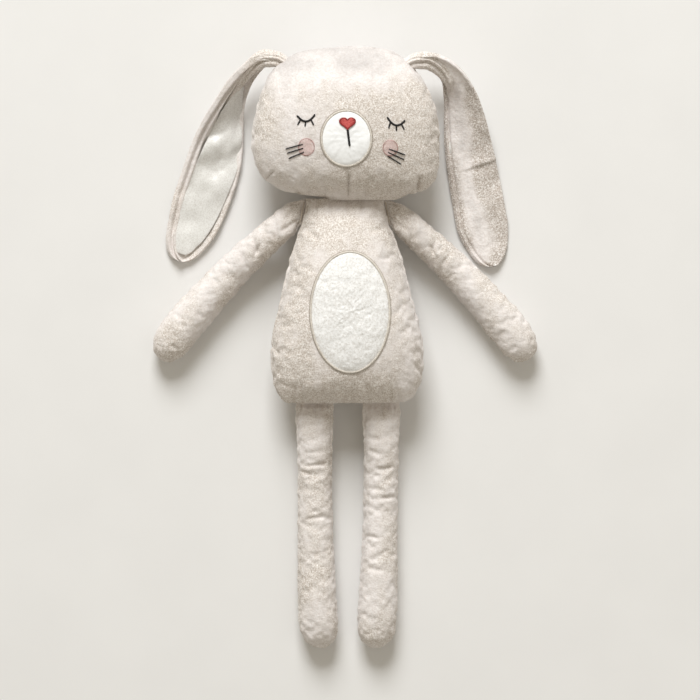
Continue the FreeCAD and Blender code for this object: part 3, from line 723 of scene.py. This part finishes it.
def leg(side, seed):
    """A leg's skin with its pleats at the hip and its creases."""
    hip_x, foot_x, power = LEGS[side]
    stations = along_stations(LEG, hip_x, HIP_Y, -1, foot_x - hip_x, power)
    rows = resampled(stations, 199)
    grid = blown_up(oval_grid(rows, 90, side=(1, 0, 0)), 0.010, 0.7, 1.0, seed)
    front = np.clip((grid[..., 2] - rows[:, None, 2]) / 5.0 + 0.6, 0, 1)
    pleats = [((hip_x + x, HIP_Y + 1), (hip_x + 1.1 * x, HIP_Y - reach), 0.9, 0.9)
              for x, reach in ((-8.5, 9), (-4.5, 6), (0.5, 11), (4.0, 7), (8.0, 10))]
    folds = creases(grid, pleats + LEG_CREASES[side]) * front
    skin, _ = stuffed_skin(f"leg_{side}", grid, rows, (seed, seed, seed + 3), (0.7, 0.2, 7.0), (0.4, 13.0),
                           folds)
    bend(skin)


def arm(side, seed):
    """An arm's skin: the left arm's stations, mirrored for the right one."""
    sign = 1 if side == "left" else -1
    rows = resampled(ARM, 172)
    lean = unit(np.array([-SHOULDER_LEAN, -1.0, 0.0]))
    grid = blown_up(oval_grid(rows, 90, first_side=lean, first_reach=0.07), 0.010, 0.7, 1.0, seed)
    for points in (grid, rows):
        points[..., 0] = points[..., 0] * sign + NECK_X
    pulls = [((NECK_X + sign * x0, y0), (NECK_X + sign * x1, y1), depth, width)
             for (x0, y0), (x1, y1), depth, width in ARM_PULLS]
    folds = creases(grid, pulls) * (grid[..., 2] > rows[:, None, 2])
    skin, _ = stuffed_skin(f"arm_{side}", grid, rows, (seed, seed, seed + 3), (0.8, 0.25, 8.0), (0.4, 15.0),
                           folds)
    bend(skin)


# ---- ears ----
def ear_frame(side, count):
    """Centres, wide and facing directions, half widths and distances of an ear's blade."""
    rows = resampled(EAR_BLADES[side], count)
    centres = rows[:, :3]
    sides = level_sides(centres)
    turn = np.radians(rows[:, 4])[:, None]
    wide = sides * np.cos(turn) + UP * np.sin(turn)
    facing = UP * np.cos(turn) - sides * np.sin(turn)
    return centres, wide, facing, rows[:, 3], travelled(centres)


def ear_drape(full, distance, across, seed):
    """How far an ear's cloth stands off its middle sheet: folds at the gathered end, waves, raised edges."""
    d = distance[:, None]
    gathered = np.exp(-((d / 45.0) ** 2))
    loose = np.clip((distance[-1] - d) / 14.0, 0, 1)
    share = across / np.maximum(full[:, None], 4.0)
    folds = 0.9 * gathered * np.cos(share * 8.0 + d / 30.0)
    place = np.stack([d + 0 * across, 1.3 * across, np.full_like(across, seed * 50)], axis=-1)
    waves = 1.7 * field(place, 24.0, seed)
    return folds + (waves + 0.9 * share**2) * loose


def ear_sheet(side, count, around, half, offset, top, bottom, seed):
    """A closed layer of an ear between the heights top and bottom above the ear's middle sheet.

    half and offset give its half width and its sideways shift for each row; top and bottom are functions
    of the distances from the ear's two edges.
    """
    centres, wide, facing, full, distance = ear_frame(side, count)
    width, shift = half(full, distance), offset(full, distance)
    angle = 2 * np.pi * np.arange(around) / around
    across = width[:, None] * np.cos(angle) + shift[:, None]
    upper = np.maximum(np.sin(angle), 0) ** 0.6
    lower = np.maximum(-np.sin(angle), 0) ** 0.6
    far, near = full[:, None] - across, full[:, None] + across
    middle = (top(far, near) + bottom(far, near)) / 2
    rise = middle + (top(far, near) - middle) * upper - (middle - bottom(far, near)) * lower
    rise = rise + ear_drape(full, distance, across, seed)
    return centres[:, None, :] + wide[:, None, :] * across[..., None] + facing[:, None, :] * rise[..., None]


def tuck(points, start, end, rise=0.8, reach=5.0):
    """The step where the cloth above a level segment overlaps the cloth below it."""
    a, b = np.array(start), np.array(end)
    over = unit(np.array([a[1] - b[1], b[0] - a[0]]))
    distance, t = segment_distance(points, start, end)
    above = (points[..., :2] - a) @ over
    fade = np.clip(np.sin(np.pi * np.clip(t, 0.04, 0.96)), 0, 1) ** 0.3
    return rise * np.tanh(above / 0.5) * bump(distance, reach) * fade


def ear(side, seed):
    """The ear's plush outer with its rolled border, and its lining."""
    def rolled(far, near):
        """The lining side: a broad double roll along one edge and a narrow one along the other."""
        inside = np.clip(np.minimum(far - 7.2, near - 2.6) / 2.0, 0, 1)
        return (0.9 - 1.3 * inside + 2.1 * bump(far - 2.0, 1.7) - 0.9 * bump(far - 4.4, 0.7)
                + 1.7 * bump(far - 6.3, 1.1) + 1.3 * bump(near - 1.2, 1.0))

    def plain(far, near):
        """The plush side: a rolled rim along each edge, with a seam line beside it."""
        return -2.1 + 1.9 * bump(near - 3.8, 0.8) - 1.0 * bump(near - 1.9, 1.2) - 0.6 * bump(far - 1.0, 1.2)

    def lining_half(full, distance):
        lead = np.clip((distance - 34) / 26.0, 0, 1) ** 0.8
        left = np.clip((distance[-1] - 4.5 - distance) / 15.0, 0, 1)
        return np.maximum(full - 5.2, 8.6) * lead * np.sqrt(1 - (1 - left) ** 2)

    def lining_offset(full, distance):
        return -3.5 + 3.3 * np.clip((distance - 80) / 60.0, 0, 1)

    outer = ear_sheet(side, 220, 120, lambda full, distance: full, lambda full, distance: 0 * full,
                      rolled, plain, seed)
    lining = ear_sheet(side, 180, 90, lining_half, lining_offset, lambda far, near: 1.75 + 0 * far,
                       lambda far, near: 0.3 + 0 * far, seed)
    lining = lining[np.ptp(lining, axis=1).max(axis=1) > 2.5]   # the rows where it has a width
    outward = grid_normals(outer)
    height = pile(outer, seed, 0.12, 0.2)
    if side == "left":
        height = height + tuck(outer, (85.0, 119.6), (100.4, 124.6)) * (outward[..., 2] > 0)
    outer = outer + outward * height[..., None]
    slant = lining[..., 1] - 134 - 0.35 * (lining[..., 0] + 85)
    upper = bump(lining[..., 1] - 138, 27.0)
    folds = (0.05 * field(lining, 2.5, seed) + 1.6 * upper * np.cos(2 * np.pi * slant / 27)
             + (0.6 + 0.9 * upper) * field(lining * np.array([1.0, 0.6, 0.3]), 10.0, seed + 5))
    lining = lining + UP * np.maximum(folds, -1.4)[..., None]
    skin = tube_object(f"ear_{side}_skin", lowest_on_floor(outer))
    lining_piece = tube_object(f"ear_{side}_lining_cloth", lowest_on_floor(lining))
    finish_piece(skin, EAR_PLUSH if side == "left" else PLUSH, "plush", f"ear_{side}_outer")
    finish_piece(lining_piece, LINING, "lining", f"ear_{side}_lining")
    for piece in (skin, lining_piece):
        bend_with_ear(piece)
    if side == "left":
        brush(skin, lambda points: 0.42 * bump(route_distance(points, BRUSHED), 6.5) - 0.17)


def bend_with_ear(piece):
    """Bakes the piece's placement into its mesh through bend()."""
    bend(piece)


def lowest_on_floor(grid):
    """Presses anything lower than the floor up to it."""
    rested = grid.copy()
    rested[..., 2] = np.maximum(rested[..., 2], 0.15)
    return rested


def ear_root(side, seed):
    """The gathered root: the ear folded double from the head seam over the arch, its two edges on top."""
    rows = resampled(EAR_ROOTS[side], 110)
    grid = oval_grid(rows, 90)
    normals = grid_normals(grid)
    across = rows[:, 3, None] * np.cos(2 * np.pi * np.arange(90) / 90)[None, :]
    size = (rows[:, 3, None] / 5.0)
    inner = across if side == "left" else -across
    edges = -2.3 * bump(inner - 1.9, 1.3) - 1.0 * bump(inner + 1.7, 0.6) - 0.5 * bump(inner + 3.6, 0.5)
    height = pile(grid, seed, 0.12, 0.2) + edges * size + 0.35 * field(grid, 7.0, seed + 2)
    root = tube_object(f"ear_{side}_gather", grid + normals * height[..., None])
    finish_piece(root, PLUSH, "plush", f"ear_{side}_root")
    bend_with_ear(root)


# ---- applique and embroidery ----
def patch(name, tree, oval, thickness, roughness, material, slot, seed):
    """An oval of cloth sewn on a skin, a little proud of it, its edge under the border."""
    x, y, half_x, half_y = grown(oval, -PATCH_INSET)
    rings, around = int(half_y / 0.85), 150
    angle = 2 * np.pi * np.arange(around) / around

    def ring(share, lift):
        return [on_skin(tree, x + half_x * share * math.cos(a), y + half_y * share * math.sin(a), lift)
                for a in angle]

    top = np.concatenate([ring(share, thickness * (1 - share**10) + PATCH_LIFT)
                          for share in np.arange(1, rings + 1) / rings])
    top[:, 2] += roughness * field(top, 1.6, seed) + 0.7 * roughness * field(top, 7.0, seed)
    middles = [on_skin(tree, x, y, thickness + PATCH_LIFT), on_skin(tree, x, y, PATCH_UNDER)]
    points = np.concatenate([top, ring(1.0, PATCH_UNDER), middles])
    cloth = mesh_object(f"{name}_cloth", points, tube_faces(rings + 1, around))
    return finish_piece(cloth, material, slot, f"{name}_patch")


def stitch_mesh(name, tree, stitches, radius, lift, points_each=5):
    """Many short threads, each from (x, y) to (x, y) over the skin, arched a little above it."""
    arch = np.sin(np.pi * np.linspace(0, 1, points_each))
    paths = []
    for (x0, y0), (x1, y1) in stitches:
        paths.append(np.array([
            on_skin(tree, x0 + (x1 - x0) * t, y0 + (y1 - y0) * t, lift - 0.5 + 0.5 * a**0.5)
            for t, a in zip(np.linspace(0, 1, points_each), arch)
        ]))
    return thread_tubes(name, paths, radius)


def satin_ring(oval, width, pitch, slant=0.25, seed=1):
    """Stitches across an oval border."""
    x, y, half_x, half_y = oval
    fine = np.linspace(0, 2 * np.pi, 2000)
    px, py = (half_x - width / 2) * np.cos(fine), (half_y - width / 2) * np.sin(fine)
    length = travelled(np.stack([px, py], axis=1))
    count = int(length[-1] / pitch)
    rng = np.random.default_rng(seed)
    made = []
    for a in np.interp(np.arange(count) * length[-1] / count, length, fine):
        middle = np.array([x + (half_x - width / 2) * math.cos(a), y + (half_y - width / 2) * math.sin(a)])
        out = unit(np.array([math.cos(a) / half_x, math.sin(a) / half_y]))
        turn = np.array([-out[1], out[0]])
        reach = out * width / 2 * rng.uniform(0.92, 1.06) + turn * slant * width / 2
        made.append((middle - reach, middle + reach))
    return made


def grown(oval, rim):
    """The oval with both half axes longer by rim."""
    x, y, half_x, half_y = oval
    return (x, y, half_x + rim, half_y + rim)


def applique(name, skin, body, oval, cloth, border):
    """An oval patch with its satin border and the thin line of thread round that, all on one skin.

    cloth is the patch's thickness, roughness, material, slot and seed; border is the width, pitch, slant
    and seed of its stitches. Returns the ray-cast trees of the skin without and with the patch.
    """
    bare = skin_tree(skin)
    piece = patch(name, bare, oval, *cloth)
    patched = skin_tree(skin, piece)
    rim = stitch_mesh(f"{name}_border_stitches", patched, satin_ring(oval, *border), 0.27, 0.6)
    finish_piece(rim, BORDER_CREAM, "satin_border", f"{name}_border")
    thin = satin_ring(grown(oval, 0.35), 0.5, 0.7, 1.2)
    outline = stitch_mesh(f"{name}_outline_stitches", bare, thin, 0.2, 0.5)
    finish_piece(outline, BORDER_GREY, "satin_border")
    for made in (piece, rim, outline):
        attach(made, body)
    return bare, patched


def satin_line(points, width, pitch, slant=0.5):
    """Stitches across a line of thread."""
    points = np.array(points, float)
    length = travelled(points)
    count = max(int(length[-1] / pitch), 2)

    def place(distance):
        return np.array([np.interp(distance, length, points[:, axis]) for axis in (0, 1)])

    made = []
    for s in np.linspace(0, length[-1], count):
        along = unit(place(s + 0.3) - place(s - 0.3))
        out = np.array([-along[1], along[0]])
        round_end = min(1.0, 0.55 + min(s, length[-1] - s) / width)
        reach = (out + slant * along) * width / 2 * round_end
        made.append((place(s) - reach, place(s) + reach))
    return made


def arc_points(start, low, end, count=24):
    """Points on a smooth sagging curve through three points."""
    t = np.linspace(0, 1, count)[:, None]
    start, low, end = (np.array(p, float) for p in (start, low, end))
    handle = 2 * low - (start + end) / 2
    return (1 - t) ** 2 * start + 2 * t * (1 - t) * handle + t**2 * end


def heart_outline(x, y, width, height, count=120):
    """Points round a heart."""
    t = np.linspace(0, 2 * np.pi, count, endpoint=False)
    px = np.sin(t) ** 3
    py = (13 * np.cos(t) - 5 * np.cos(2 * t) - 2 * np.cos(3 * t) - np.cos(4 * t)) / 17
    py = (py - (py.max() + py.min()) / 2) / (py.max() - py.min())
    return np.stack([x + px * width / 2, y + py * height], axis=1)


def fill_rows(outline, pitch, inset=0.3):
    """Level stitches that fill an outline."""
    made = []
    ys = np.arange(outline[:, 1].min() + pitch, outline[:, 1].max(), pitch)
    nxt = np.roll(outline, -1, axis=0)
    for y in ys:
        crossing = (outline[:, 1] > y) != (nxt[:, 1] > y)
        a, b = outline[crossing], nxt[crossing]
        xs = np.sort(a[:, 0] + (y - a[:, 1]) * (b[:, 0] - a[:, 0]) / (b[:, 1] - a[:, 1]))
        for left, right in zip(xs[::2], xs[1::2]):
            if right - left > 3 * inset:
                made.append(((left + inset, y), (right - inset, y + 0.15)))
    return made


def embroidery(head_tree, muzzle_tree):
    """The eyes, whiskers, cheeks, nose, mouth and the stitches along the darts."""
    def sew(name, tree, stitches, radius, lift, material, slot, *nodes, points_each=5):
        piece = stitch_mesh(name, tree, stitches, radius, lift, points_each)
        finish_piece(piece, material, slot, *nodes)
        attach(piece, "head")

    for side, (start, low, end, lashes) in EYES.items():
        stitches = satin_line(arc_points(start, low, end), LINE, 0.36)
        for a, b in lashes:
            stitches += satin_line([a, b], LINE * 0.75, 0.36)
        sew(f"eye_{side}_stitches", head_tree, stitches, 0.24, 0.55, BLACK, "black_thread", f"eye_{side}")
    for side, strokes in WHISKERS.items():
        stitches = [s for a, b in strokes for s in satin_line([a, b], 0.8, 0.42)]
        sew(f"whiskers_{side}_stitches", head_tree, stitches, 0.22, 0.7, BLACK, "black_thread",
            f"whiskers_{side}")
    for side, (x, y, half_x, half_y) in CHEEKS.items():
        angle = np.linspace(0, 2 * np.pi, 60, endpoint=False)
        outline = np.stack([x + half_x * np.cos(angle), y + half_y * np.sin(angle)], axis=1)
        sew(f"cheek_{side}_stitches", head_tree, fill_rows(outline, 0.75), 0.24, 0.4, PINK, "pink_thread",
            f"cheek_{side}", points_each=9)
        edge = satin_line(np.concatenate([outline, outline[:1]]), 0.55, 0.6)
        sew(f"cheek_{side}_edge", head_tree, edge, 0.17, 0.45, ROSE, "pink_thread")
    outline = heart_outline(*HEART)
    sew("nose_heart_stitches", muzzle_tree, fill_rows(outline, 0.36), 0.25, 0.75, RED, "red_thread",
        "nose_heart", points_each=9)
    edge = satin_line(np.concatenate([outline, outline[:1]]), 0.9, 0.32)
    sew("nose_heart_edge", muzzle_tree, edge, 0.2, 0.85, DARK_RED, "red_thread")
    sew("mouth_stitches", muzzle_tree, satin_line(MOUTH, LINE * 1.1, 0.4), 0.26, 0.6, BLACK, "black_thread",
        "mouth_line")
    dart_lines = [s for a, b, *_ in DARTS for s in satin_line([a, b], 0.5, 1.1, slant=1.6)]
    sew("head_dart_stitches", head_tree, dart_lines, 0.2, 0.15, BEIGE_THREAD, "beige_thread", "head_darts")


# ---- build ----
torso_skin, torso_points = torso()
closing_stitches(torso_points)
head_skin = head()
for side, seed in (("right", 21.0), ("left", 31.0)):
    arm(side, seed)
for side, seed in (("right", 41), ("left", 52)):
    leg(side, seed)
for side, seed in (("right", 61.0), ("left", 71.0)):
    ear_root(side, seed)
    ear(side, seed)

applique("belly", torso_skin, "torso", BELLY, (0.9, 0.3, TERRY, "terry_patch", 81.0), (1.4, 0.5, 0.25, 1))
embroidery(*applique("muzzle", head_skin, "head", MUZZLE, (0.8, 0.09, VELOUR, "smooth_patch", 91.0),
                     (1.5, 0.5, 0.25, 2)))
bend(head_skin)

for node in ("neck_seam_thread", "hip_seam_threads", "shoulder_seam_threads"):
    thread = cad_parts[node]
    thread.data.materials.clear()
    thread.data.materials.append(BEIGE_THREAD)

# ---- floor and light ----
floor_material = Shader("floor", roughness=0.9, specular=0.1)
floor_material.colour(floor_material.ramp(floor_material.noise(60.0, 4.0, 0.5),
                                          [(0.3, rgb(231, 230, 229)), (0.7, rgb(234, 233, 232))]))
bpy.ops.mesh.primitive_plane_add(size=6.0, location=(0, 0, -0.0002))
floor = bpy.context.object
floor.name = "floor"
floor.data.materials.append(floor_material.material)

world = bpy.data.worlds.new("studio")
world.use_nodes = True
background = world.node_tree.nodes["Background"].inputs
background["Color"].default_value = (1.0, 0.92, 0.76, 1.0)
background["Strength"].default_value = 0.37
bpy.context.scene.world = world

# Lamps that point at the middle of the bunny: name, place in metres, size, power, colour.
for name, place, size, power, colour in (("window", (-0.4, 3.1, 2.3), 1.8, 163.0, (0.98, 0.995, 1.0)),
                                         ("fill", (1.0, -0.4, 1.8), 1.6, 3.0, (1.0, 0.99, 0.98))):
    light = bpy.data.lights.new(name, "AREA")
    light.size, light.energy, light.color = size, power, colour
    lamp = add_object(name, light)
    lamp.location = place
    lamp.rotation_mode = "QUATERNION"
    lamp.rotation_quaternion = (-Vector(place)).to_track_quat("-Z", "Y")
bpy.context.scene.view_settings.view_transform = "Standard"
